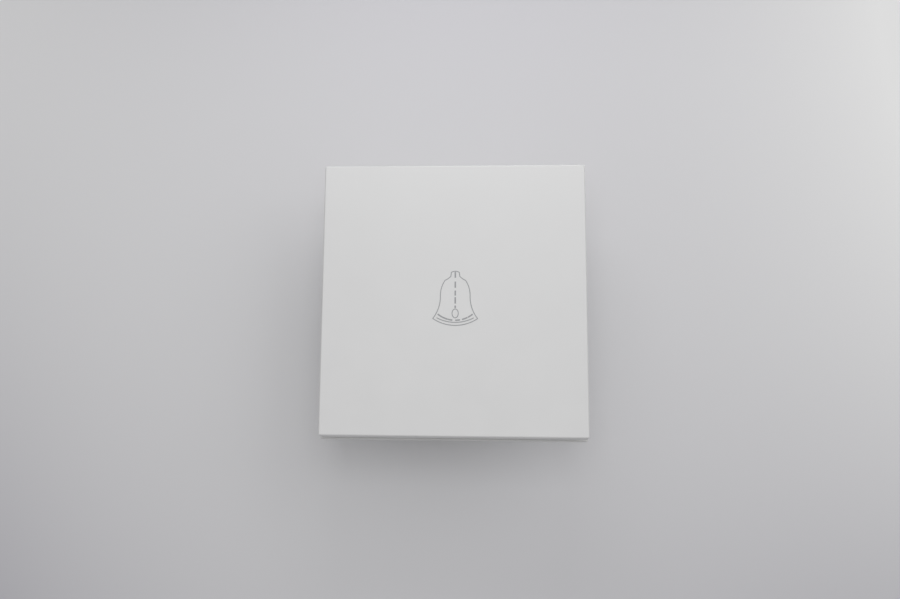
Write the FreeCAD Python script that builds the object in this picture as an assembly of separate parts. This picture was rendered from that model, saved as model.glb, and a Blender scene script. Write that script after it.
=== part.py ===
import FreeCAD, Part
import math
import os

# A flush wall bell push. Its whole face is one cap, hinged along the top edge.
# Frame: origin in the wall plane at the plate's centre, +Z up the wall, +X to the
# right seen from the room, -Y out of the wall into the room. Sizes in millimetres.

# Cap
face_w = 86.0           # width of the cap
face_h = 90.0           # height of the cap
proud = 10.0            # from the wall to the cap's face
cap_t = 2.0             # thickness of the cap's face
skirt_t = 1.8           # wall of the cap's turned edge
cap_corner = 0.6        # rounding of the cap's four corners
cap_edge = 0.5          # rounding from the face into the edge
press_angle = 1.75      # degrees that the cap swings in
skirt_clear = 0.28      # what is left of the slit under the cap when pressed
rib_t = 1.0             # stiffening ribs inside the cap
rib_h = 1.2
rib_step = 12.0         # ribs up the cap lie at one and two steps from its middle
rib_inset = 2.4         # rib ends stop short of the collar

# Frame against the wall
frame_lip = 0.3         # frame's edge outside the cap's edge
frame_t = 2.6
frame_corner = 0.6
frame_edge = 0.25       # rounding of the frame's front rim
collar_gap = 0.6        # cap's turned edge to the collar
collar_t = 1.6
collar_clear = 0.35     # pressed cap's inside to the collar's end
well_w = 12.0           # openings for the box screws' heads
well_h = 13.0
well_corner = 1.0
window_gap = 0.5        # frame's window round the module cover

# Hinge between frame and cap
pin_r = 1.5
pin_play = 0.08
pin_top_gap = 0.3       # pin to the cap's inside
pin_len = 3.2
post_x = 27.0           # middle of the frame's post
post_t = 2.0
post_wall = 0.1         # post's round top outside the pin
ear_t = 2.4
ear_side = 0.4          # post to ear
ear_wall = 1.12         # ear's ring outside its hole
ear_mouth = 2.5         # snap-in mouth, narrower than the pin
ear_clear = 0.8         # ear to the collar
ear_relief = 0.3        # frame cut back under an ear

# Hooks that hold the cap's lower edge
hook_x = 18.0
hook_w = 8.0
hook_t = 1.2
hook_gap = 0.4          # arm to collar
hook_side = 1.0
hook_back = 0.8         # room behind the arm for its flexing
barb = 1.1              # how far the barb stands out
barb_h = 1.0
barb_tip_gap = 0.4
catch_gap = 0.1         # barb to its ledge at rest
ledge_t = 1.25

# Steel yoke
yoke_t = 1.2
yoke_w = 73.0
yoke_h = 62.0
yoke_corner = 3.0
yoke_edge = 0.15        # eased sheared edges
yoke_fit = 0.2          # yoke in the frame's recess
yoke_front_gap = 0.1
slot_pitch = 60.3       # the standard pitch of a square wall box
slot_w = 4.3
slot_len = 8.0
yoke_window_w = 30.0
yoke_window_h = 34.0
yoke_window_corner = 1.0

# Legs that clip the frame to the yoke
clip_x = 14.0
clip_w = 6.0
clip_t = 1.4
clip_off = 4.0          # leg's middle beyond the module's edge
clip_barb = 1.3
clip_side = 0.5
clip_in = 0.3
clip_out = 0.5
clip_catch = 0.1
clip_tip = 1.2
clip_root = 0.5         # how far a leg runs on into the frame

# Module housing
module_w = 42.0
module_h = 46.0
module_depth = 24.0
module_corner = 2.0
wall_t = 1.8
floor_t = 2.0
cover_t = 1.6
cover_edge = 0.4
rim_fit = 0.2           # cover's rim in the yoke's window
rim_t = 1.2
rim_depth = 1.0
housing_edge = 0.8      # rounding of the housing's rear rim
stiffener_t = 1.2       # two cross walls on the housing's floor
stiffener_h = 5.0
stiffener_z = 9.0
stiffener_step = 6.0
grip_count = 5          # fine grip ribs on each side of the housing
grip_pitch = 3.0
grip_w = 1.2
grip_h = 0.5
grip_len = 16.0

# Screws through cover and yoke
screw_inset_x = 3.5
screw_inset_z = 3.0
screw_r = 1.25
screw_hole = 0.2        # radial room in the cover and the yoke
screw_pilot = 0.03
screw_len = 8.0
screw_head_r = 2.4
screw_head_h = 1.4
boss_r = 2.6
boss_depth = 7.0
boss_floor = 0.8
recess_w = 0.6          # cross recess in every screw head
recess_len = 0.7        # share of the head's width
recess_depth = 0.55     # share of the head's height
head_round = 0.35       # rounding of a head's rim, as a share of its height
lead_share = 0.7        # slope of a snap barb, as a share of its height

# Plunger
push_z = -8.0           # height of the plunger's axis
push_pad_h = 1.95       # pad on the cap's inside
push_pad_r = 1.9
push_pad_w = 7.0
push_gap = 0.05
plunger_r = 4.0
plunger_play = 0.06
plunger_edge = 0.4
guide_r = 5.5
guide_clear = 0.2       # guide's end to the pressed plunger's end
guide_back = 1.0
stop_gap = 0.1
stop_r = 5.4
stop_t = 1.2
carriage_w = 7.2
cheek_t = 1.5
carriage_tail = 4.85    # solid tail behind the bridge's window
window_head = 0.6       # bridge window starts this far behind the stop
spigot_r = 2.0
spigot_len = 1.8
spigot_gap = 2.5        # pressed plunger's spigot to the housing's spigot

# Springs
return_coil_r = 3.0
return_wire = 0.7
return_turns = 7
contact_coil_r = 1.5
contact_wire = 0.4
contact_turns = 3
contact_spring_len = 3.1

# Contacts
bridge_len = 24.0
bridge_waist = 4.8
bridge_end = 6.0
bridge_t = 0.7
bridge_play = 0.05
waist_gap = 0.4
cheek_gap = 0.3
contact_x = 9.5
contact_r = 1.5
contact_t = 0.7
contact_gap = 1.1       # open gap between the contacts
fixed_r = 1.6
fixed_t = 0.6
strip_t = 0.8
strip_w = 5.0
strip_inset = 2.0       # strip's end beyond the contact's middle
strip_short = 2.0       # strip's lower end above the block's

# Terminals
block_w = 8.0
block_h = 10.0
block_d = 9.0
block_fit = 0.15
block_edge = 0.3
wire_r = 1.6
wire_from_front = 3.6
entry_r = 2.1
entry_lead = 0.9
partition_t = 1.0
partition_gap = 0.5
clamp_in = 6.9          # clamp screw's axis from the wire's mouth
clamp_r = 1.75
clamp_play = 0.05
clamp_stroke = 2.2
clamp_tip_gap = 0.1
clamp_seat_gap = 0.15
clamp_head_r = 3.0
clamp_head_h = 1.9
clamp_well = 0.4
well_mark = 0.8         # depth of the two blank screw wells

# Printed bell outline
ink_t = 0.04
stroke_w = 0.27
dash_w = 0.46           # the dashes are bolder
symbol_h = 18.2         # height of the print, drawn on a grid
symbol_rows = 20        # rows of that grid
symbol_x = 0.6          # the print sits a little right of the middle
symbol_z = 0.4

# Planes and places worked out from the sizes above
cap_in = -(proud - cap_t)
collar_out_w = face_w - 2 * (skirt_t + collar_gap)
collar_out_h = face_h - 2 * (skirt_t + collar_gap)
collar_in_w = collar_out_w - 2 * collar_t
collar_in_h = collar_out_h - 2 * collar_t
ear_hole_r = pin_r + pin_play
ear_r = ear_hole_r + ear_wall
hinge_y = cap_in + pin_top_gap + pin_r
hinge_z = collar_in_h / 2 - ear_clear - ear_r


def press_drop(z):
    """How far the cap moves towards the wall at height z, at full press."""
    return (hinge_z - z) * math.sin(math.radians(press_angle))


skirt_end = -(frame_t + press_drop(-face_h / 2) + skirt_clear)
collar_end = cap_in + press_drop(-collar_out_h / 2) + collar_clear
ledge_y = collar_end + ledge_t
arm_out = collar_in_h / 2 - hook_gap
barb_out = arm_out + barb
barb_y = ledge_y + catch_gap

cover_y = -(yoke_t + cover_t)
clip_z = module_h / 2 + clip_off
screw_x = module_w / 2 - screw_inset_x
screw_z = module_h / 2 - screw_inset_z
floor_y = module_depth - floor_t

plunger_travel = press_drop(push_z)
plunger_y = cap_in + push_pad_h + push_gap
guide_y = plunger_y + plunger_travel + guide_clear
stop_y = guide_back + stop_gap
window_y = stop_y + stop_t + window_head
bridge_y = window_y + contact_spring_len
bridge_back = bridge_y + bridge_t
window_end = bridge_back + bridge_play
tail_y = window_end + carriage_tail
contact_y = bridge_back + contact_t
fixed_y = contact_y + contact_gap
strip_y = fixed_y + fixed_t
block_y = strip_y + strip_t
block_back = block_y + block_d
block_x = module_w / 2 - wall_t - block_fit - block_w / 2
block_z0 = -(module_h / 2 - wall_t - block_fit)
block_z1 = block_z0 + block_h
clamp_z = block_z0 + clamp_in
wire_y = block_y + wire_from_front
clamp_tip_y = wire_y + wire_r + clamp_tip_gap
clamp_head_y = block_back + clamp_seat_gap + clamp_stroke
cell = symbol_h / symbol_rows


def vec(x, y, z):
    return FreeCAD.Vector(x, y, z)


def box(x0, x1, y0, y1, z0, z1):
    """A block between two corners, given in either order."""
    low = vec(min(x0, x1), min(y0, y1), min(z0, z1))
    return Part.makeBox(abs(x1 - x0), abs(y1 - y0), abs(z1 - z0), low)


def disc(axis, centre, radius, length):
    """A cylinder from its centre point along the axis."""
    return Part.makeCylinder(radius, length, centre, axis)


def along_x(x0, x1, y, z, radius):
    return disc(vec(1, 0, 0), vec(min(x0, x1), y, z), radius, abs(x1 - x0))


def along_y(x, z, radius, y0, y1):
    return disc(vec(0, 1, 0), vec(x, min(y0, y1), z), radius, abs(y1 - y0))


def along_z(x, y, radius, z0, z1):
    return disc(vec(0, 0, 1), vec(x, y, min(z0, z1)), radius, abs(z1 - z0))


def slab(width, height, corner, y0, y1, x=0.0, z=0.0):
    """A plate parallel to the wall, from y0 to y1, with rounded corners."""
    plate = box(x - width / 2, x + width / 2, y0, y1, z - height / 2, z + height / 2)
    if corner <= 0:
        return plate
    edges = [e for e in plate.Edges if abs(e.tangentAt(e.FirstParameter).y) > 0.99]
    return plate.makeFillet(corner, edges)


def rim(solid, y):
    """The solid's edges that lie in the plane y."""
    return [e for e in solid.Edges if all(abs(v.Point.y - y) < 1e-6 for v in e.Vertexes)]


def round_rim(solid, y):
    """A round solid's full circle in the plane y."""
    return [e for e in rim(solid, y) if len(e.Vertexes) == 1]


def slot(x, z, length, width, y0, y1):
    """A round-ended slot along X, from y0 to y1."""
    half = (length - width) / 2
    solid = box(x - half, x + half, y0, y1, z - width / 2, z + width / 2)
    for side in (-1, 1):
        solid = solid.fuse(along_y(x + side * half, z, width / 2, y0, y1))
    return solid.removeSplitter()


def joined(solids):
    """One solid out of overlapping ones."""
    first = solids[0]
    for other in solids[1:]:
        first = first.fuse(other)
    return first.removeSplitter()


def without(solid, cutters):
    for cutter in cutters:
        solid = solid.cut(cutter)
    return solid.removeSplitter()


def four(x, z):
    """The four places at plus and minus x and z."""
    return [(sx * x, sz * z) for sx in (-1, 1) for sz in (-1, 1)]


# Cap

def cap_shell():
    """The cap's tray: a face with a turned edge, rounded at its front rim."""
    outer = slab(face_w, face_h, cap_corner, -proud, skirt_end)
    outer = outer.makeFillet(cap_edge, rim(outer, -proud))
    inner = slab(face_w - 2 * skirt_t, face_h - 2 * skirt_t, 0, cap_in, skirt_end + 1)
    return outer.cut(inner)


def cap_ribs():
    """A grid of low ribs on the cap's inside, clear of the frame's collar."""
    end_x = collar_in_w / 2 - rib_inset
    end_z = collar_in_h / 2 - rib_inset - hook_t
    root = cap_in - cap_t / 2
    ribs = []
    for side in (-1, 1):
        for step in (1, 2):
            x = side * step * rib_step
            ribs.append(box(x - rib_t / 2, x + rib_t / 2, root, cap_in + rib_h,
                            -end_z, hinge_z - ear_r - rib_t))
        z = side * 2 * rib_step
        ribs.append(box(-end_x, end_x, root, cap_in + rib_h, z - rib_t / 2, z + rib_t / 2))
    return ribs


def cap_ear(side):
    """One open hinge ear: a ring round the pin with a snap-in mouth to the wall."""
    x0 = side * (post_x + post_t / 2 + ear_side)
    x1 = x0 + side * ear_t
    root = cap_in - cap_t / 2
    web = box(x0, x1, root, hinge_y, hinge_z - ear_r, hinge_z + ear_r)
    ring = along_x(x0, x1, hinge_y, hinge_z, ear_r)
    hole = along_x(x0 - side, x1 + side, hinge_y, hinge_z, ear_hole_r)
    mouth = box(x0 - side, x1 + side, hinge_y, hinge_y + ear_r + 1,
                hinge_z - ear_mouth / 2, hinge_z + ear_mouth / 2)
    return web.fuse(ring).cut(hole).cut(mouth)


def barb_lead(tip, y, z):
    """The edge of a snap barb that meets its mate first."""
    return [e for e in rim(tip, y) if all(abs(v.Point.z - z) < 1e-6 for v in e.Vertexes)]


def cap_hook(side):
    """One retaining hook: an arm with a barb that catches behind the collar's ledge."""
    x0 = side * hook_x - hook_w / 2
    x1 = x0 + hook_w
    root = cap_in - cap_t / 2
    arm = box(x0, x1, root, barb_y + barb_h, -arm_out, -(arm_out - hook_t))
    tip = box(x0, x1, barb_y, barb_y + barb_h, -barb_out, -(arm_out - hook_t))
    return arm.fuse(tip.makeChamfer(barb_h * lead_share, barb_lead(tip, barb_y + barb_h,
                                                                   -barb_out)))


def make_cap():
    pad = along_x(-push_pad_w / 2, push_pad_w / 2, cap_in + push_pad_h - push_pad_r, push_z,
                  push_pad_r)
    pad_web = box(-push_pad_w / 2, push_pad_w / 2, cap_in - cap_t / 2,
                  cap_in + push_pad_h - push_pad_r, push_z - push_pad_r, push_z + push_pad_r)
    parts = [cap_shell(), pad, pad_web] + cap_ribs()
    parts += [make(side) for side in (-1, 1) for make in (cap_ear, cap_hook)]
    return joined(parts)


# Printed bell. Its places are counted in grid cells, from the print's own centre.

def on_face(x, z):
    return vec(symbol_x + x * cell, -proud, symbol_z + z * cell)


def arc(a, b, c):
    """The arc through three grid places."""
    return Part.Arc(on_face(*a), on_face(*b), on_face(*c)).toShape()


def line(a, b):
    return Part.LineSegment(on_face(*a), on_face(*b)).toShape()


def print_layer(outer, inner=None):
    """Ink on the cap: the face inside outer, less the face inside inner."""
    face = Part.Face(outer)
    if inner is not None:
        face = face.cut(Part.Face(inner))
    return face.extrude(vec(0, -ink_t, 0))


def around(wire, width):
    """The line at half the width outside a wire."""
    return wire.makeOffset2D(width / 2, 0, False, False)


def lip_dash(half_w, z_end, z_mid, x0, x1, width):
    """A stroke, from x0 to x1, on the arc through its two ends and its middle."""
    rise = z_end - z_mid
    radius = (half_w ** 2 + rise ** 2) / (2 * rise)

    def height(x):
        return z_mid + radius - math.sqrt(radius ** 2 - x ** 2)

    mid = (x0 + x1) / 2
    path = arc((x0, height(x0)), (mid, height(mid)), (x1, height(x1)))
    return print_layer(around(Part.Wire([path]), width))


def upright_dash(top, bottom, width):
    """A straight stroke on the bell's axis."""
    return box(symbol_x - width / 2, symbol_x + width / 2, -proud, -proud - ink_t,
               symbol_z + top * cell, symbol_z + bottom * cell)


def oval_ring(half_w, half_h, z):
    """The clapper: an upright oval line about the bell's axis."""
    half_line = stroke_w / 2 / cell
    ovals = []
    for grow in (half_line, -half_line):
        oval = Part.Ellipse(on_face(0, z + half_h + grow), on_face(half_w + grow, z),
                            on_face(0, z))
        ovals.append(Part.Wire(oval.toShape()))
    return print_layer(*ovals)


def bell_side(side, neck, lip):
    """One flank of the bell, from the crown's neck down to the end of the lip."""
    shoulder, waist = (3.68, 6.0), (5.3, 0.44)
    stations = [neck, (2.33, 6.8), shoulder, (4.8, 3.63), waist, (6.0, -4.29), lip]
    places = [(side * x, z) for x, z in stations]
    return [arc(*places[index:index + 3]) for index in (0, 2, 4)]


def make_bell_symbol():
    crown, neck, lip = (1.4, 8.95), (1.6, 7.45), (7.95, -7.91)
    outline = bell_side(-1, neck, lip) + bell_side(1, neck, lip)
    for side in (-1, 1):
        outline.append(line((side * neck[0], neck[1]), (side * crown[0], crown[1])))
    outline.append(arc((-crown[0], crown[1]), (0, 9.35), crown))
    outline.append(arc((-lip[0], lip[1]), (0, -10.38), lip))
    ring = Part.Wire(Part.__sortEdges__(outline))
    solids = [print_layer(around(ring, stroke_w), around(ring, -stroke_w))]
    solids.append(lip_dash(6.59, -7.64, -9.29, -6.48, 6.48, stroke_w))
    for x0, x1 in ((-6.04, -2.86), (-2.42, -1.21), (0.22, 1.54), (2.64, 4.18), (4.73, 6.04)):
        solids.append(lip_dash(6.04, -6.43, -8.52, x0, x1, dash_w))
    for top, bottom in ((9.05, 6.95), (5.55, 3.3), (2.25, 0.44), (-0.16, -2.47), (-3.2, -4.1)):
        solids.append(upright_dash(top, bottom, dash_w))
    solids.append(oval_ring(1.1, 1.6, -6.04))
    return Part.makeCompound([s for shape in solids for s in shape.Solids])


# Frame

def frame_post(side):
    """A post with a trunnion pin that points outwards."""
    x0 = side * (post_x - post_t / 2)
    x1 = x0 + side * post_t
    radius = pin_r + post_wall
    web = box(x0, x1, hinge_y, -frame_t / 2, hinge_z - radius, hinge_z + radius)
    return [web, along_x(x0, x1, hinge_y, hinge_z, radius),
            along_x(x1, x1 + side * pin_len, hinge_y, hinge_z, pin_r)]


def frame_leg(x, z):
    """A barbed leg that passes through the yoke and catches behind it."""
    out = 1 if z > 0 else -1
    root = -(yoke_t + yoke_front_gap + clip_root)
    z0 = z - out * clip_t / 2
    z1 = z + out * clip_t / 2
    leg = box(x - clip_w / 2, x + clip_w / 2, root, clip_catch + clip_tip, z0, z1)
    tip = box(x - clip_w / 2, x + clip_w / 2, clip_catch, clip_catch + clip_tip,
              z0, z1 + out * clip_barb)
    lead = barb_lead(tip, clip_catch + clip_tip, z1 + out * clip_barb)
    return leg.fuse(tip.makeChamfer(clip_tip * lead_share, lead))


def make_wall_frame():
    flange = slab(face_w + 2 * frame_lip, face_h + 2 * frame_lip, frame_corner, -frame_t, 0)
    flange = flange.makeFillet(frame_edge, rim(flange, -frame_t))
    collar = slab(collar_out_w, collar_out_h, cap_corner, collar_end, -frame_t / 2)
    well = slab(collar_in_w, collar_in_h, 0, collar_end - 1, -frame_t)
    recess = slab(yoke_w + 2 * yoke_fit, yoke_h + 2 * yoke_fit, yoke_corner,
                  -(yoke_t + yoke_front_gap), 1)
    window = slab(module_w + 2 * window_gap, module_h + 2 * window_gap, module_corner,
                  collar_end, 1)
    body = without(flange.fuse(collar), [well, recess, window])
    cutters = []
    for side in (-1, 1):
        cutters.append(slab(well_w, well_h, well_corner, collar_end, 1, side * slot_pitch / 2))
        hook_mid = side * hook_x
        hook_half = hook_w / 2 + hook_side
        cutters.append(box(hook_mid - hook_half, hook_mid + hook_half, ledge_y, 1,
                           -(barb_out + barb_tip_gap), -(arm_out - hook_t - hook_back)))
        ear_x0 = side * (post_x + post_t / 2 + ear_side / 2)
        ear_x1 = side * (post_x + post_t / 2 + ear_side + ear_t + ear_side)
        reach = ear_r + ear_relief
        cutters.append(box(ear_x0, ear_x1, hinge_y, hinge_y + reach,
                           hinge_z - reach, hinge_z + reach))
    body = without(body, cutters)
    extras = [piece for side in (-1, 1) for piece in frame_post(side)]
    extras += [frame_leg(x, z) for x, z in four(clip_x, clip_z)]
    return joined([body] + extras)


# Yoke

def make_yoke():
    plate = slab(yoke_w, yoke_h, yoke_corner, -yoke_t, 0)
    plate = plate.makeChamfer(yoke_edge, rim(plate, -yoke_t) + rim(plate, 0))
    cutters = [slab(yoke_window_w, yoke_window_h, yoke_window_corner, -yoke_t - 1, 1)]
    for side in (-1, 1):
        cutters.append(slot(side * slot_pitch / 2, 0, slot_len, slot_w, -yoke_t - 1, 1))
    for x, z in four(clip_x, clip_z):
        out = 1 if z > 0 else -1
        cutters.append(box(x - clip_w / 2 - clip_side, x + clip_w / 2 + clip_side,
                           -yoke_t - 1, 1, z - out * (clip_t / 2 + clip_in),
                           z + out * (clip_t / 2 + clip_out)))
    for x, z in four(screw_x, screw_z):
        cutters.append(along_y(x, z, screw_r + screw_hole, -yoke_t - 1, 1))
    return without(plate, cutters)


# Module housing

def make_module_cover():
    plate = slab(module_w, module_h, module_corner, cover_y, -yoke_t)
    plate = plate.makeChamfer(cover_edge, rim(plate, cover_y))
    lip_w = yoke_window_w - 2 * rim_fit
    lip_h = yoke_window_h - 2 * rim_fit
    lip = slab(lip_w, lip_h, yoke_window_corner, -yoke_t - cover_t / 2, rim_depth)
    hollow = slab(lip_w - 2 * rim_t, lip_h - 2 * rim_t, 0, -yoke_t, rim_depth + 1)
    guide = along_y(0, push_z, guide_r, guide_y, guide_back)
    bore = along_y(0, push_z, plunger_r + plunger_play, guide_y - 1, guide_back + 1)
    body = joined([plate, lip.cut(hollow), guide])
    holes = [along_y(x, z, screw_r + screw_hole, cover_y - 1, 1) for x, z in four(screw_x, screw_z)]
    return without(body, [bore] + holes)


def terminal_pocket(side):
    """Walls that hold one terminal block, and the pillar under its contact strip."""
    edge = module_w / 2 - wall_t
    inner = block_x - block_w / 2 - block_fit
    top = block_z1 + block_fit
    front = block_y + partition_gap
    bottom = -(module_h / 2 - wall_t / 2)
    wall_x = side * (edge + wall_t / 2)
    back = floor_y + floor_t / 2
    return [
        box(side * (inner - partition_t), side * inner, front, back, bottom, top),
        box(side * (inner - partition_t), wall_x, front, back, top, top + partition_t),
        box(side * (inner - partition_t), wall_x, block_back, back, bottom, top),
        box(side * (contact_x - strip_inset), side * inner, block_y, back,
            push_z - strip_w / 2, push_z + strip_w / 2),
    ]


def side_grips(side):
    """Fine ribs on the housing's side."""
    ribs = []
    middle = module_depth / 2
    for index in range(grip_count):
        y = middle + (index - (grip_count - 1) / 2) * grip_pitch
        ribs.append(box(side * (module_w / 2 - wall_t / 2), side * (module_w / 2 + grip_h),
                        y - grip_w / 2, y + grip_w / 2,
                        stiffener_z - grip_len / 2, stiffener_z + grip_len / 2))
    return ribs


def make_module_base():
    outer = slab(module_w, module_h, module_corner, 0, module_depth)
    outer = outer.makeFillet(housing_edge, rim(outer, module_depth))
    hollow = slab(module_w - 2 * wall_t, module_h - 2 * wall_t, 0, -1, floor_y)
    shell = outer.cut(hollow)
    parts = [shell]
    for side in (-1, 1):
        parts += terminal_pocket(side) + side_grips(side)
    in_w = module_w / 2 - wall_t / 2
    for z in (stiffener_z, stiffener_z + stiffener_step):
        parts.append(box(-in_w, in_w, floor_y - stiffener_h, floor_y + floor_t / 2,
                         z - stiffener_t / 2, z + stiffener_t / 2))
    in_box = slab(module_w - wall_t, module_h - wall_t, 0, 0, boss_depth)
    for x, z in four(screw_x, screw_z):
        parts.append(along_y(x, z, boss_r, 0, boss_depth).common(in_box))
    spigot_y = tail_y + spigot_len + plunger_travel + spigot_gap
    parts.append(along_y(0, push_z, spigot_r, spigot_y, floor_y + floor_t / 2))
    body = joined(parts)
    cutters = [along_y(x, z, screw_r + screw_pilot, -1, boss_depth - boss_floor)
               for x, z in four(screw_x, screw_z)]
    clamp_hole = clamp_head_r + clamp_well
    bottom = -module_h / 2
    for side in (-1, 1):
        x = side * block_x
        cutters.append(along_y(x, clamp_z, clamp_hole, block_back, module_depth + 1))
        cutters.append(along_y(x, -clamp_z, clamp_hole, module_depth - well_mark,
                               module_depth + 1))
        cutters.append(along_z(x, wire_y, entry_r, bottom - 1, bottom + wall_t + block_fit))
        cutters.append(Part.makeCone(entry_r + entry_lead, entry_r, entry_lead,
                                     vec(x, wire_y, bottom), vec(0, 0, 1)))
    return without(body, cutters)


# Screws

def screw(x, z, seat_y, out, head_r, head_h, shank_r, shank_len):
    """A pan-head screw along Y with its head on the out side of seat_y."""
    head = along_y(x, z, head_r, seat_y, seat_y + out * head_h)
    head = head.makeFillet(head_h * head_round, round_rim(head, seat_y + out * head_h))
    body = head.fuse(along_y(x, z, shank_r, seat_y, seat_y - out * shank_len))
    reach = head_r * recess_len
    y0 = seat_y + out * head_h * (1 - recess_depth)
    y1 = seat_y + out * (head_h + 1)
    cross = [box(x - reach, x + reach, y0, y1, z - recess_w / 2, z + recess_w / 2),
             box(x - recess_w / 2, x + recess_w / 2, y0, y1, z - reach, z + reach)]
    return without(body, cross)


def make_module_screws():
    return Part.makeCompound([screw(x, z, cover_y, -1, screw_head_r, screw_head_h,
                                    screw_r, screw_len)
                              for x, z in four(screw_x, screw_z)])


def make_terminal_screw(side):
    return screw(side * block_x, clamp_z, clamp_head_y, 1, clamp_head_r, clamp_head_h,
                 clamp_r, clamp_head_y - clamp_tip_y)


# Plunger and springs

def make_plunger():
    stem = along_y(0, push_z, plunger_r, plunger_y, stop_y + stop_t)
    stem = stem.makeFillet(plunger_edge, round_rim(stem, plunger_y))
    stop = along_y(0, push_z, stop_r, stop_y, stop_y + stop_t)
    half = bridge_waist / 2 + cheek_gap
    carriage = box(-carriage_w / 2, carriage_w / 2, stop_y + stop_t / 2, tail_y,
                   push_z - half - cheek_t, push_z + half + cheek_t)
    window = box(-carriage_w, carriage_w, window_y, window_end, push_z - half, push_z + half)
    spigot = along_y(0, push_z, spigot_r, tail_y - 1, tail_y + spigot_len)
    return joined([stem, stop, carriage.cut(window), spigot])


def biarc(p0, t0, p1, t1):
    """Two arcs that leave p0 along t0 and reach p1 along t1, touching in between."""
    span = p1 - p0
    total = t0 + t1
    lead = 2 * (1 - t0.dot(t1))
    along = span.dot(total)
    reach = (-along + math.sqrt(along ** 2 + lead * span.dot(span))) / lead
    q0 = p0 + t0 * reach
    q1 = p1 - t1 * reach
    middle = (q0 + q1) * 0.5
    edges = []
    for a, corner, b in ((p0, q0, middle), (middle, q1, p1)):
        chord_mid = (a + b) * 0.5
        to_corner = corner - chord_mid
        half_chord = (b - a).Length / 2
        # The arc's height is half the chord times the tangent of a quarter of its turn.
        quarter = math.atan2(to_corner.Length, half_chord) / 2
        height = half_chord * math.tan(quarter)
        top = chord_mid + to_corner * (height / to_corner.Length)
        edges.append(Part.Arc(a, top, b).toShape())
    return edges


def coil(name, radius, wire, turns, y0, y1, x, z):
    """A compression spring along Y: one tube on a helix of quarter-turn biarcs.

    Its two ends run straight on for one wire diameter.
    """
    low = y0 + wire / 2
    high = y1 - wire / 2
    pitch = (high - low) / turns
    slope = pitch / (2 * math.pi * radius)

    def at(angle):
        return vec(x + radius * math.cos(angle), low + pitch * angle / (2 * math.pi),
                   z + radius * math.sin(angle))

    def heading(angle, rise):
        tangent = vec(-math.sin(angle), rise, math.cos(angle))
        return tangent.normalize()

    last = turns * 2 * math.pi
    first_dir = heading(0, 0)
    last_dir = heading(last, 0)
    edges = [Part.LineSegment(at(0) - first_dir * wire, at(0)).toShape()]
    angles = [index * math.pi / 2 for index in range(turns * 4 + 1)]
    for index, (a, b) in enumerate(zip(angles, angles[1:])):
        t0 = first_dir if index == 0 else heading(a, slope)
        t1 = last_dir if index == turns * 4 - 1 else heading(b, slope)
        edges += biarc(at(a), t0, at(b), t1)
    edges.append(Part.LineSegment(at(last), at(last) + last_dir * wire).toShape())
    path = Part.Wire(edges)
    circle = Part.makeCircle(wire / 2, at(0) - first_dir * wire, first_dir)
    tube = path.makePipeShell([Part.Wire([circle])], True, False)
    expected = math.pi * (wire / 2) ** 2 * path.Length
    print(f"{name}: least gap between turns {least_gap(path, wire, radius):.2f} mm, "
          f"volume {tube.Volume:.3f} of {expected:.3f} mm3")
    return tube


def least_gap(path, wire, radius):
    """The tube's least gap to itself, over points at least half a turn apart."""
    step = wire / 2
    points = path.discretize(Distance=step)
    skip = math.ceil(math.pi * radius / step)
    best = float("inf")
    for i, a in enumerate(points):
        for b in points[i + skip:]:
            best = min(best, (b - a).Length)
    return best - wire


def make_return_spring():
    return coil("return_spring", return_coil_r, return_wire, return_turns,
                tail_y, floor_y, 0, push_z)


def make_contact_spring():
    return coil("contact_spring", contact_coil_r, contact_wire, contact_turns,
                window_y, bridge_y, 0, push_z)


# Contacts and terminals

def make_contact_bridge():
    waist = box(-bridge_len / 2, bridge_len / 2, bridge_y, bridge_back,
                push_z - bridge_waist / 2, push_z + bridge_waist / 2)
    parts = [waist]
    inner = carriage_w / 2 + waist_gap
    for side in (-1, 1):
        parts.append(box(side * inner, side * bridge_len / 2, bridge_y, bridge_back,
                         push_z - bridge_end / 2, push_z + bridge_end / 2))
    return joined(parts)


def make_bridge_contact(side):
    return along_y(side * contact_x, push_z, contact_r, bridge_back, contact_y)


def make_fixed_contact(side):
    return along_y(side * contact_x, push_z, fixed_r, fixed_y, strip_y)


def make_contact_strip(side):
    """An L-shaped strip from under the contact to the terminal block's face."""
    inner = side * (contact_x - strip_inset)
    outer = side * (block_x + strip_w / 2)
    across = box(inner, outer, strip_y, block_y, push_z - strip_w / 2, push_z + strip_w / 2)
    down = box(side * (block_x - strip_w / 2), outer, strip_y, block_y,
               block_z0 + strip_short, push_z + strip_w / 2)
    return joined([across, down])


def make_terminal_block(side):
    x = side * block_x
    block = box(x - block_w / 2, x + block_w / 2, block_y, block_back, block_z0, block_z1)
    upright = [e for e in block.Edges if abs(e.tangentAt(e.FirstParameter).z) > 0.99]
    block = block.makeChamfer(block_edge, upright)
    bore = along_z(x, wire_y, wire_r, block_z0 - 1, block_z1 + 1)
    thread_end = clamp_tip_y - clamp_stroke - clamp_tip_gap
    thread = along_y(x, clamp_z, clamp_r + clamp_play, thread_end, block_back + 1)
    return without(block, [bore, thread])


def all_nodes():
    """Every piece by its name."""
    nodes = {
        "cap": make_cap(),
        "bell_symbol": make_bell_symbol(),
        "wall_frame": make_wall_frame(),
        "yoke": make_yoke(),
        "module_cover": make_module_cover(),
        "module_base": make_module_base(),
        "module_screws": make_module_screws(),
        "plunger": make_plunger(),
        "return_spring": make_return_spring(),
        "contact_spring": make_contact_spring(),
        "contact_bridge": make_contact_bridge(),
    }
    for side, word in ((-1, "left"), (1, "right")):
        nodes[f"bridge_contact_{word}"] = make_bridge_contact(side)
        nodes[f"fixed_contact_{word}"] = make_fixed_contact(side)
        nodes[f"contact_strip_{word}"] = make_contact_strip(side)
        nodes[f"terminal_block_{word}"] = make_terminal_block(side)
        nodes[f"terminal_screw_{word}"] = make_terminal_screw(side)
    return nodes


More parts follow.
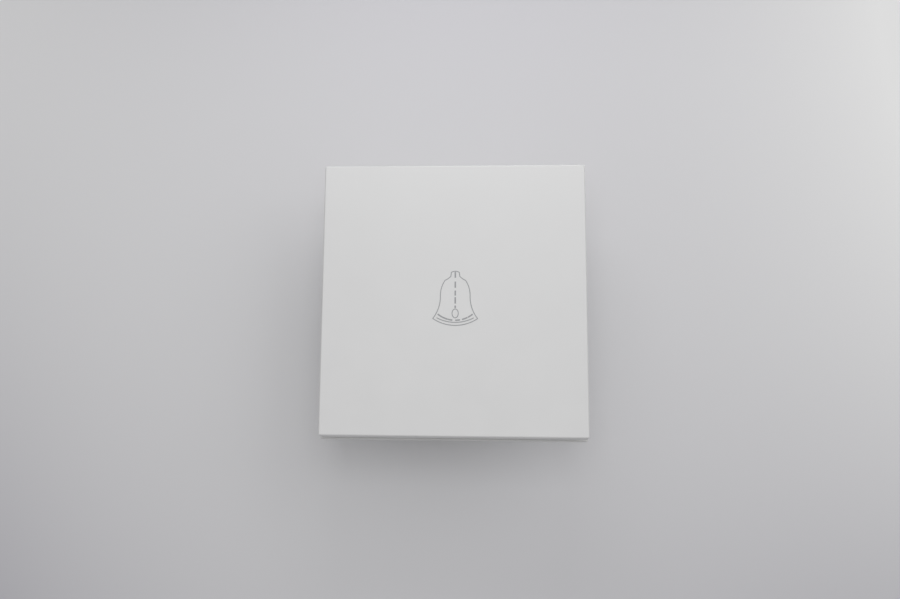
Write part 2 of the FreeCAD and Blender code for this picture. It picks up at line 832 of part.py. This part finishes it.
os.makedirs("parts", exist_ok=True)
for node, shape in all_nodes().items():
    shape.exportStep(f"parts/{node}.step")
    solids = len(shape.Solids)
    print(f"{node}: {solids} solid(s), {shape.Volume:.1f} mm3, valid {shape.isValid()}")
print(f"hinge at y {hinge_y:.3f} z {hinge_z:.3f}, skirt end {skirt_end:.3f}, "
      f"collar end {collar_end:.3f}")
print(f"plunger travel {plunger_travel:.4f}, wire bore at x {block_x:.3f} y {wire_y:.3f}, "
      f"z {block_z0:.3f} to {block_z1:.3f}, module depth {module_depth:.1f}")
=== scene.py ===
"""Looks of the bell push: its finishes, springs, moulding marks, studio and camera.

Metres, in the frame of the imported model: +Z is up the wall, the cap faces -Y, +X is to the
right seen from the front, and the origin is the plate's middle in the wall plane.
"""
import math

import bmesh
import bpy
import numpy as np
from mathutils import Matrix, Vector


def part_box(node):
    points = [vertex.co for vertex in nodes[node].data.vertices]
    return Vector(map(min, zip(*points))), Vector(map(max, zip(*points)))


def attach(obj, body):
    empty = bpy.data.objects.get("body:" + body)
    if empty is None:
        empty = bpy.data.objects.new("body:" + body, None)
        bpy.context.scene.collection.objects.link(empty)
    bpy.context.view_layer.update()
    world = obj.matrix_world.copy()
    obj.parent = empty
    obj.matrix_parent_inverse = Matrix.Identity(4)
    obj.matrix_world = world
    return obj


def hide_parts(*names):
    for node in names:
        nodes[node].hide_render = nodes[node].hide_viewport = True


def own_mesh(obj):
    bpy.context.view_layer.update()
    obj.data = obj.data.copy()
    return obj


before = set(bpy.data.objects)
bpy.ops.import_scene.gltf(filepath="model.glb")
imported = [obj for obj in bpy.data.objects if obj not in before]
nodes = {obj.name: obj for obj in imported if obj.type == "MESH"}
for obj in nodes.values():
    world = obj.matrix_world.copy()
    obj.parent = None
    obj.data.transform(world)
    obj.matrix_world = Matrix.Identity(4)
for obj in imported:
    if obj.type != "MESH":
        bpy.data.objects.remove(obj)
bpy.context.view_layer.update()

MM = 0.001
TAU = 2 * math.pi


def middle(node):
    """The middle of a node's box at rest."""
    low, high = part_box(node)
    return (low + high) / 2


# Places that the frame gives

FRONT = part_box("cap")[0].y
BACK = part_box("module_base")[1].y
PUSH_Z = middle("plunger").z
CLAMP_X = middle("terminal_screw_right").x
CLAMP_Z = middle("terminal_screw_right").z

# Sizes and places of what the frame doesn't give

TAPPING_X = 17.5 * MM       # axes of the four tapping screws, one in each quarter
TAPPING_Z = 20 * MM
RETURN_WIRE = 0.7 * MM
RETURN_TURNS = 7
CONTACT_WIRE = 0.4 * MM
CONTACT_TURNS = 3
NUMBER_HEIGHT = 4.5 * MM    # of the type, whose figures are about three quarters as tall
NUMBER_RAISED = 0.15 * MM
NUMBER_BOLDER = 0.12 * MM
NUMBER_ABOVE = 8 * MM       # from the clamp screw's axis to the number's middle
EJECTOR_Z = 15 * MM
EJECTOR_R = 1.5 * MM
EJECTOR_RAISED = 0.06 * MM
GATE_Z = 2 * MM
GATE_R = 0.8 * MM
GATE_RAISED = 0.15 * MM


# Shader nodes

def linear(hex_colour):
    """An sRGB hex colour such as "DEDEDC" as linear RGBA."""
    parts = np.array([int(hex_colour[i:i + 2], 16) / 255 for i in (0, 2, 4)])
    parts = np.where(parts <= 0.04045, parts / 12.92, ((parts + 0.055) / 1.055) ** 2.4)
    return (*parts.tolist(), 1.0)


def add(tree, kind, inputs=None, **settings):
    """Adds a node. Settings are its own properties; inputs sets or links its sockets."""
    node = tree.nodes.new(kind)
    for name, value in settings.items():
        setattr(node, name, value)
    for socket, value in (inputs or {}).items():
        if isinstance(value, bpy.types.NodeSocket):
            tree.links.new(value, node.inputs[socket])
        else:
            node.inputs[socket].default_value = value
    return node


def new_material(name, **values):
    """A material with one Principled shader whose sockets hold these values."""
    material = bpy.data.materials.new(name)
    material.use_nodes = True
    tree = material.node_tree
    shader = tree.nodes["Principled BSDF"]
    for socket, value in values.items():
        shader.inputs[socket.replace("_", " ")].default_value = value
    return material, tree, shader


def noise(tree, size, detail=2.0, stretch=(1, 1, 1), source="Object"):
    """Noise of a size in metres, from about 0.3 to 0.7, stretched along an axis."""
    place = add(tree, "ShaderNodeTexCoord").outputs[source]
    turned = add(tree, "ShaderNodeMapping", {"Vector": place, "Scale": [1 / s for s in stretch]})
    return add(tree, "ShaderNodeTexNoise",
               {"Vector": turned.outputs[0], "Scale": 1 / size, "Detail": detail}).outputs["Fac"]


def tint(tree, factor, low, high, start=0.3, end=0.7):
    """A colour that goes from low to high as factor goes from start to end."""
    share = add(tree, "ShaderNodeMapRange", {0: factor, 1: start, 2: end}).outputs[0]
    mix = add(tree, "ShaderNodeMix", {0: share, 6: linear(low), 7: linear(high)},
              data_type="RGBA")
    return mix.outputs[2]


def spread(tree, factor, low, high, start=0.3, end=0.7):
    """A number that goes from low to high as factor goes from start to end."""
    return add(tree, "ShaderNodeMapRange",
               {0: factor, 1: start, 2: end, 3: low, 4: high}).outputs[0]


def relief(tree, shader, height, depth):
    """Bumps the shader by a height of this depth in metres."""
    bump = add(tree, "ShaderNodeBump", {"Height": height, "Distance": depth, "Strength": 1.0})
    tree.links.new(bump.outputs[0], shader.inputs["Normal"])


def feed(tree, shader, **links):
    """Links outputs to the shader's sockets."""
    for socket, output in links.items():
        tree.links.new(output, shader.inputs[socket.replace("_", " ")])


# Finishes

def satin_polycarbonate(name, low, high):
    """Polycarbonate moulded against a finely eroded steel face.

    It gives an even, neutral white with a wide soft highlight and no mirror image. The
    erosion is 0.05 mm grit, drawn at 0.4 mm so that it shows.
    """
    material, tree, shader = new_material(name, IOR=1.585)
    feed(tree, shader, Base_Color=tint(tree, noise(tree, 45 * MM), low, high),
         Roughness=spread(tree, noise(tree, 7 * MM, 4), 0.4, 0.48))
    relief(tree, shader, noise(tree, 0.4 * MM, 3), 0.0015 * MM)
    return material


def textured_polyamide():
    """Glass-filled polyamide 6 moulding: duller and a little warmer than the cap, with a
    coarse eroded grain of 0.3 mm and faint flow streaks down the mould."""
    material, tree, shader = new_material("textured_polyamide", IOR=1.53)
    flow = noise(tree, 4 * MM, 4, stretch=(1, 1, 5))
    feed(tree, shader, Base_Color=tint(tree, flow, "D3D2CD", "D9D8D4"),
         Roughness=spread(tree, noise(tree, 1.5 * MM, 3), 0.5, 0.68))
    relief(tree, shader, noise(tree, 0.3 * MM, 2), 0.008 * MM)
    return material


def zinc_plated_sheet():
    """Cold-rolled steel, blanked and then zinc plated: a cool grey metal with rolling lines
    along X, drawn 0.3 mm wide so that they show, and a soft cloudy passivation."""
    material, tree, shader = new_material("zinc_plated_sheet", Metallic=1.0)
    cloud = noise(tree, 9 * MM, 3)
    rolled = noise(tree, 0.3 * MM, 2, stretch=(40, 1, 1))
    feed(tree, shader, Base_Color=tint(tree, cloud, "A9ADB2", "C2C4C4"),
         Roughness=spread(tree, rolled, 0.3, 0.46))
    relief(tree, shader, rolled, 0.003 * MM)
    return material


def zinc_plated_screw(name, centre_x, centre_z):
    """Cold-headed steel screws, zinc plated: bright, with rings from the heading die about
    each screw's axis, 0.35 mm apart. A height is the sine of the distance from the axis.
    The screws stand in mirrored places, so that distance is taken from the absolute x, and
    from the absolute z too where screws stand above and below the middle."""
    material, tree, shader = new_material(name, Metallic=1.0)
    place = add(tree, "ShaderNodeTexCoord").outputs["Object"]
    parts = add(tree, "ShaderNodeSeparateXYZ", {0: place})
    x = add(tree, "ShaderNodeMath", {0: parts.outputs[0]}, operation="ABSOLUTE").outputs[0]
    z = parts.outputs[2]
    if centre_z > 0:
        z = add(tree, "ShaderNodeMath", {0: z}, operation="ABSOLUTE").outputs[0]
    flat = add(tree, "ShaderNodeCombineXYZ", {0: x, 2: z}).outputs[0]
    radius = add(tree, "ShaderNodeVectorMath", {0: flat, 1: (centre_x, 0, centre_z)},
                 operation="DISTANCE").outputs["Value"]
    turns = add(tree, "ShaderNodeMath", {0: radius, 1: TAU / (0.35 * MM)}, operation="MULTIPLY")
    rings = add(tree, "ShaderNodeMath", {0: turns.outputs[0]}, operation="SINE").outputs[0]
    feed(tree, shader, Base_Color=tint(tree, noise(tree, 1.5 * MM, 3), "B4B6B8", "CBCBC8"),
         Roughness=spread(tree, noise(tree, 0.5 * MM, 2), 0.22, 0.36))
    relief(tree, shader, rings, 0.0025 * MM)
    return material


def stamped_brass():
    """Brass strip and bar, blanked and left bare: warm yellow with a drawn grain up Z and
    thin brown tarnish in patches of some 3 mm."""
    material, tree, shader = new_material("stamped_brass", Metallic=1.0)
    tarnish = noise(tree, 3 * MM, 4)
    grain = noise(tree, 0.2 * MM, 2, stretch=(1, 1, 25))
    feed(tree, shader, Base_Color=tint(tree, tarnish, "B48F4C", "DABB77"),
         Roughness=spread(tree, grain, 0.24, 0.4))
    relief(tree, shader, grain, 0.002 * MM)
    return material


def contact_silver():
    """Silver-nickel contacts, cold pressed: pale and bright with a fine frosted face."""
    material, tree, shader = new_material("contact_silver", Metallic=1.0)
    frost = noise(tree, 0.15 * MM, 3)
    feed(tree, shader, Base_Color=tint(tree, noise(tree, 1 * MM, 2), "C9C8C3", "E0DFDA"),
         Roughness=spread(tree, frost, 0.25, 0.42))
    relief(tree, shader, frost, 0.002 * MM)
    return material


def drawn_spring_wire():
    """Hard-drawn spring steel: a grey shine with draw lines along the wire. The lines are
    0.12 mm wide and follow the UV map, which is in metres along and around the wire."""
    material, tree, shader = new_material("drawn_spring_wire", Metallic=1.0)
    lines = noise(tree, 0.12 * MM, 2, stretch=(60, 1, 1), source="UV")
    feed(tree, shader, Base_Color=tint(tree, lines, "8F8E8A", "B5B3AD"),
         Roughness=spread(tree, lines, 0.2, 0.34))
    relief(tree, shader, lines, 0.003 * MM)
    return material


def grey_acetal():
    """Acetal moulding: dense, slightly waxy mid grey, smoother than the housing."""
    material, tree, shader = new_material("grey_acetal", IOR=1.48)
    feed(tree, shader, Base_Color=tint(tree, noise(tree, 5 * MM, 3), "868A8E", "94979A"),
         Roughness=spread(tree, noise(tree, 0.8 * MM, 3), 0.32, 0.42))
    relief(tree, shader, noise(tree, 0.25 * MM, 2), 0.0015 * MM)
    return material


def pad_printed_ink():
    """Pad-printed grey ink: matt, a little uneven in tone where the pad left it thin."""
    material, tree, shader = new_material("pad_printed_ink", IOR=1.5)
    feed(tree, shader, Base_Color=tint(tree, noise(tree, 0.5 * MM, 3), "9A9B9E", "A9AAAC"),
         Roughness=spread(tree, noise(tree, 0.2 * MM, 2), 0.55, 0.7))
    relief(tree, shader, noise(tree, 0.15 * MM, 2), 0.002 * MM)
    return material


def paint(material, *names):
    """Puts a material on the CAD nodes of these names."""
    for name in names:
        for slot in nodes[name].material_slots:
            slot.material = material


def paint_pair(material, *names):
    """The same for nodes that come as a left and a right one."""
    paint(material, *[f"{name}_{side}" for name in names for side in ("left", "right")])


wire_finish = drawn_spring_wire()
housing_finish = textured_polyamide()
brass_finish = stamped_brass()
paint(satin_polycarbonate("satin_polycarbonate", "E0E0E0", "E2E2E2"), "cap")
paint(satin_polycarbonate("satin_polycarbonate_frame", "DCDCDB", "DFDFDE"), "wall_frame")
paint(pad_printed_ink(), "bell_symbol")
paint(zinc_plated_sheet(), "yoke")
paint(housing_finish, "module_base", "module_cover")
paint(zinc_plated_screw("zinc_plated_screw", TAPPING_X, TAPPING_Z), "module_screws")
paint_pair(zinc_plated_screw("zinc_plated_clamp", CLAMP_X, CLAMP_Z), "terminal_screw")
paint(grey_acetal(), "plunger")
paint(brass_finish, "contact_bridge")
paint_pair(brass_finish, "contact_strip", "terminal_block")
paint_pair(contact_silver(), "bridge_contact", "fixed_contact")


# New pieces

def surface(name, points, uv, material):
    """A grid of points as quads, with its UV map; points that fall together are merged.

    points has the shape (rows, columns, 3). The last column closes onto the first, and each
    end of the rows has to be a pole or left open.
    """
    rows, columns = points.shape[:2]
    row, column = np.meshgrid(np.arange(rows - 1), np.arange(columns), indexing="ij")
    corners = [(row, column), (row + 1, column), (row + 1, column + 1), (row, column + 1)]
    faces = np.stack([r * columns + c % columns for r, c in corners], -1).reshape(-1, 4)
    corner_uv = np.stack([uv[r, c] for r, c in corners], 2).reshape(-1, 2)
    mesh = bpy.data.meshes.new(name)
    mesh.from_pydata(points.reshape(-1, 3).tolist(), [], faces.tolist())
    layer = mesh.uv_layers.new(name="UVMap")
    layer.data.foreach_set("uv", corner_uv.astype(np.float32).ravel())
    build = bmesh.new()
    build.from_mesh(mesh)
    bmesh.ops.remove_doubles(build, verts=build.verts, dist=1e-7)
    bmesh.ops.recalc_face_normals(build, faces=build.faces)
    build.to_mesh(mesh)
    build.free()
    mesh.shade_smooth()
    mesh.materials.append(material)
    piece = bpy.data.objects.new(name, mesh)
    bpy.context.scene.collection.objects.link(piece)
    return piece


def spring(name, radius, wire, turns, y0, y1):
    """A compression spring along Y from y0 to y1, on the push axis.

    Its centreline is a helix whose rise per turn goes smoothly from closed end turns to
    open middle ones: with s the share of the way from one to the other, by s squared times
    3 - 2s. A circle of the wire's radius is carried along it, on the outward direction and
    its cross product with the tangent; close to both ends it shrinks to a point, as the
    square root of the distance. The two ends are ground flat, which is a clip to y0 and y1.
    """
    ground = wire / 4
    rounding = 0.15 * wire
    closed_turns, opening_turns = 0.35, 0.6
    closed_rise, open_rise = 0.45, 1.45
    per_turn, round_wire = 48, 20
    angle = np.linspace(0, turns * TAU, turns * per_turn + 1)
    from_end = np.minimum(angle, angle[-1] - angle) / TAU
    opened = np.clip((from_end - closed_turns) / opening_turns, 0, 1)
    rise = closed_rise + (open_rise - closed_rise) * opened ** 2 * (3 - 2 * opened)
    climbed = np.concatenate([[0], np.cumsum((rise[1:] + rise[:-1]) / 2)])
    low, high = y0 + wire / 2 - ground, y1 - wire / 2 + ground
    height = low + (high - low) * climbed / climbed[-1]
    out = np.stack([np.cos(angle), 0 * angle, np.sin(angle)], -1)
    centre = out * radius + np.stack([0 * angle, height, 0 * angle + PUSH_Z], -1)
    tangent = np.gradient(centre, axis=0)
    tangent = tangent / np.linalg.norm(tangent, axis=1)[:, None]
    across = np.cross(tangent, out)
    step = np.linalg.norm(np.diff(centre, axis=0), axis=1)
    length = np.concatenate([[0], np.cumsum(step)])
    to_end = np.minimum(length, length[-1] - length)
    taper = np.sqrt(np.clip(to_end / rounding, 0, 1))
    turn = np.linspace(0, TAU, round_wire + 1)
    ring = out[:, None] * np.cos(turn)[:, None] + across[:, None] * np.sin(turn)[:, None]
    points = centre[:, None] + ring * (wire / 2 * taper)[:, None, None]
    points[..., 1] = np.clip(points[..., 1], y0, y1)
    uv = np.stack(np.broadcast_arrays(length[:, None], turn * wire / 2), -1)
    return surface(name, points[:, :-1], uv, wire_finish)


def add_spring(node, body, wire, turns):
    """A coil in a spring node's place, riding on a body."""
    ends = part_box(node)
    outside = (ends[1].x - ends[0].x) / 2
    piece = spring(f"{node}_coil", outside - wire / 2, wire, turns, ends[0].y, ends[1].y)
    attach(piece, body)
    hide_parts(node)
    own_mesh(piece)


def add_springs():
    """The return spring stands in the housing; the contact spring rides in the plunger."""
    add_spring("return_spring", "root", RETURN_WIRE, RETURN_TURNS)
    add_spring("contact_spring", "plunger", CONTACT_WIRE, CONTACT_TURNS)


def moulded_number(digit, x, z):
    """A terminal's number, raised on the housing's back and read from behind."""
    name = f"terminal_number_{digit}"
    text = bpy.data.curves.new(name, "FONT")
    text.body = digit
    text.size = NUMBER_HEIGHT
    text.extrude = NUMBER_RAISED
    text.offset = NUMBER_BOLDER
    text.align_x = text.align_y = "CENTER"
    sign = bpy.data.objects.new(name + "_text", text)
    bpy.context.scene.collection.objects.link(sign)
    mesh = bpy.data.meshes.new_from_object(sign)
    bpy.data.objects.remove(sign)
    mesh.transform(Matrix(((-1, 0, 0, x), (0, 0, 1, BACK), (0, 1, 0, z), (0, 0, 0, 1))))
    mesh.materials.clear()
    mesh.materials.append(housing_finish)
    piece = bpy.data.objects.new(name, mesh)
    bpy.context.scene.collection.objects.link(piece)
    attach(piece, "root")


def moulding_mark(name, z, radius, height):
    """A shallow disc on the housing's back, where an ejector pin or the gate met the plastic.

    Its profile is turned about an axis along Y: a flat top, a quarter round of the height as
    its radius, and a foot as far below the back face.
    """
    around, over_shoulder = 32, 5
    turn = np.linspace(0, TAU, around + 1)
    shoulder = np.linspace(0, math.pi / 2, over_shoulder + 1)
    reach = np.concatenate([[0], radius - height + height * np.sin(shoulder), [radius]])
    lift = np.concatenate([[height], height * np.cos(shoulder), [-height]])
    points = np.stack(np.broadcast_arrays(reach[:, None] * np.cos(turn), BACK + lift[:, None],
                                          z + reach[:, None] * np.sin(turn)), -1)
    uv = points[..., [0, 2]]
    piece = surface(name, points[:, :-1], uv, housing_finish)
    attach(piece, "root")


add_springs()
moulded_number("1", CLAMP_X, CLAMP_Z + NUMBER_ABOVE)
moulded_number("2", -CLAMP_X, CLAMP_Z + NUMBER_ABOVE)
moulding_mark("ejector_mark_upper", EJECTOR_Z, EJECTOR_R, EJECTOR_RAISED)
moulding_mark("ejector_mark_lower", -EJECTOR_Z, EJECTOR_R, EJECTOR_RAISED)
moulding_mark("gate_mark", GATE_Z, GATE_R, GATE_RAISED)


# Studio

# The card's colour is painted light and shade: a sum of these terms, each a product of x and z
# in metres. It is even about the part, painted lighter towards both upper corners and most at
# the right one, as light from the upper right falls, and painted darker above the part and low
# down.
PAINTED_LIGHT_TERMS = {"x": -0.25, "z": -0.25, "xx": 2.5, "xz": 1.7, "zz": -6, "xxz": 64, "xxx": 25}
SUM_DARKEST, SUM_LIGHTEST = -0.16, 0.2


def sum_of_terms(tree, place, terms):
    """The sum of terms such as {"xz": 1.7}: x times z times 1.7, of a place's outputs."""
    total = 0.0
    for letters, term in terms.items():
        for letter in letters:
            term = add(tree, "ShaderNodeMath", {0: term, 1: place[letter]},
                       operation="MULTIPLY").outputs[0]
        total = add(tree, "ShaderNodeMath", {0: term, 1: total}, operation="ADD").outputs[0]
    return total


def add_backdrop():
    """The pale matt card that the part lies on with the back of its module. Its colour is graded
    with painted light and shade, lighter to the upper right and darker low down.

    It is seen from the front only, and by the camera only, so that the part's own back is
    lit as well.
    """
    half, behind = 1.6, BACK + 0.2 * MM
    corners = [(x * half, behind, z * half) for x, z in ((-1, -1), (1, -1), (1, 1), (-1, 1))]
    mesh = bpy.data.meshes.new("backdrop_card")
    mesh.from_pydata(corners, [], [(0, 1, 2, 3)])
    card = bpy.data.objects.new("backdrop_card", mesh)
    bpy.context.scene.collection.objects.link(card)
    material, tree, shader = new_material("matt_card", Roughness=0.9, Specular_IOR_Level=0.2)
    spot = add(tree, "ShaderNodeTexCoord").outputs["Object"]
    x, _, z = add(tree, "ShaderNodeSeparateXYZ", {0: spot}).outputs
    # painted light and shade: the card's colour grades as lamp falloff and the shade near the
    # part would
    tone = sum_of_terms(tree, {"x": x, "z": z}, PAINTED_LIGHT_TERMS)
    feed(tree, shader,
         Base_Color=tint(tree, tone, "C4C3C8", "F5F5F5", SUM_DARKEST, SUM_LIGHTEST))
    seen = add(tree, "ShaderNodeLightPath").outputs["Is Camera Ray"]
    rear = add(tree, "ShaderNodeNewGeometry").outputs["Backfacing"]
    share = add(tree, "ShaderNodeMath", {0: seen, 1: rear}, operation="SUBTRACT",
                use_clamp=True).outputs[0]
    clear = add(tree, "ShaderNodeBsdfTransparent").outputs[0]
    mix = add(tree, "ShaderNodeMixShader", {0: share, 1: clear, 2: shader.outputs[0]})
    tree.links.new(mix.outputs[0], tree.nodes["Material Output"].inputs[0])
    mesh.materials.append(material)


def light_world():
    """Even pale surroundings, dimmer on the card's rear side, which a real card would shade.

    The camera and gloss see one plain pale tone instead.
    """
    in_front, at_rear, edge = 0.45, 0.24, 0.03
    world = bpy.data.worlds.new("soft_studio")
    bpy.context.scene.world = world
    world.use_nodes = True
    tree = world.node_tree
    toward = add(tree, "ShaderNodeTexCoord").outputs["Generated"]
    depth = add(tree, "ShaderNodeSeparateXYZ", {0: toward}).outputs[1]
    level = spread(tree, depth, in_front, at_rear, -edge, edge)
    lit = add(tree, "ShaderNodeBackground", {"Color": linear("FFFFFF"), "Strength": level})
    seen = add(tree, "ShaderNodeBackground", {"Color": linear("C2C1C5"), "Strength": 1.0})
    path = add(tree, "ShaderNodeLightPath").outputs
    plain = add(tree, "ShaderNodeMath", {0: path["Is Camera Ray"], 1: path["Is Glossy Ray"]},
                operation="ADD", use_clamp=True).outputs[0]
    mix = add(tree, "ShaderNodeMixShader", {0: plain, 1: lit.outputs[0], 2: seen.outputs[0]})
    tree.links.new(mix.outputs[0], tree.nodes["World Output"].inputs[0])


def add_softbox(name, place, size, watts):
    """A square area lamp at a place, aimed at the plate's middle."""
    lamp = bpy.data.lights.new(name, "AREA")
    lamp.size = size
    lamp.energy = watts
    box = bpy.data.objects.new(name, lamp)
    box.location = place
    box.rotation_mode = "QUATERNION"
    box.rotation_quaternion = (-Vector(place)).to_track_quat("-Z", "Y")
    box.visible_camera = False
    bpy.context.scene.collection.objects.link(box)


def add_camera():
    """The photograph's view: a 48 mm lens, 392 mm from the cap, from a little below and to
    the right.

    The cap's edges meet as they would in a picture trimmed so that its optical centre lies
    80 of 900 pixels left of the middle, which is the sideways shift. The target is the
    point of the cap's face plane at that optical centre.
    """
    azimuth, elevation, roll = (math.radians(angle) for angle in (4.67, -11.73, 1.11))
    distance = 391.6 * MM
    target = Vector((-27.14 * MM, FRONT, -0.58 * MM))
    shifted, picture_width = 80, 900
    back = Vector((math.sin(azimuth) * math.cos(elevation),
                   -math.cos(azimuth) * math.cos(elevation), math.sin(elevation)))
    level = Vector((math.cos(azimuth), math.sin(azimuth), 0))
    upright = back.cross(level)
    right = level * math.cos(roll) + upright * math.sin(roll)
    up = upright * math.cos(roll) - level * math.sin(roll)
    camera = bpy.data.objects.new("camera", bpy.data.cameras.new("camera"))
    camera.data.lens = 48
    camera.data.shift_x = shifted / picture_width
    camera.data.sensor_width = 36
    camera.data.clip_start, camera.data.clip_end = 0.01, 20
    camera.matrix_world = Matrix.Translation(target + back * distance) @ Matrix(
        (right, up, back)).transposed().to_4x4()
    bpy.context.scene.collection.objects.link(camera)
    bpy.context.scene.camera = camera


add_backdrop()
light_world()
add_softbox("softbox_front", (0, -1.2, 0.1), 0.7, 2.65)
add_softbox("softbox_right", (0.45, -0.45, 0.25), 0.5, 0.59)
add_softbox("softbox_above", (0, -0.1, 0.17), 0.12, 0.088)
add_softbox("softbox_behind", (0.45, 0.9, 0.75), 0.7, 10.5)
add_camera()
bpy.context.scene.view_settings.view_transform = "Standard"
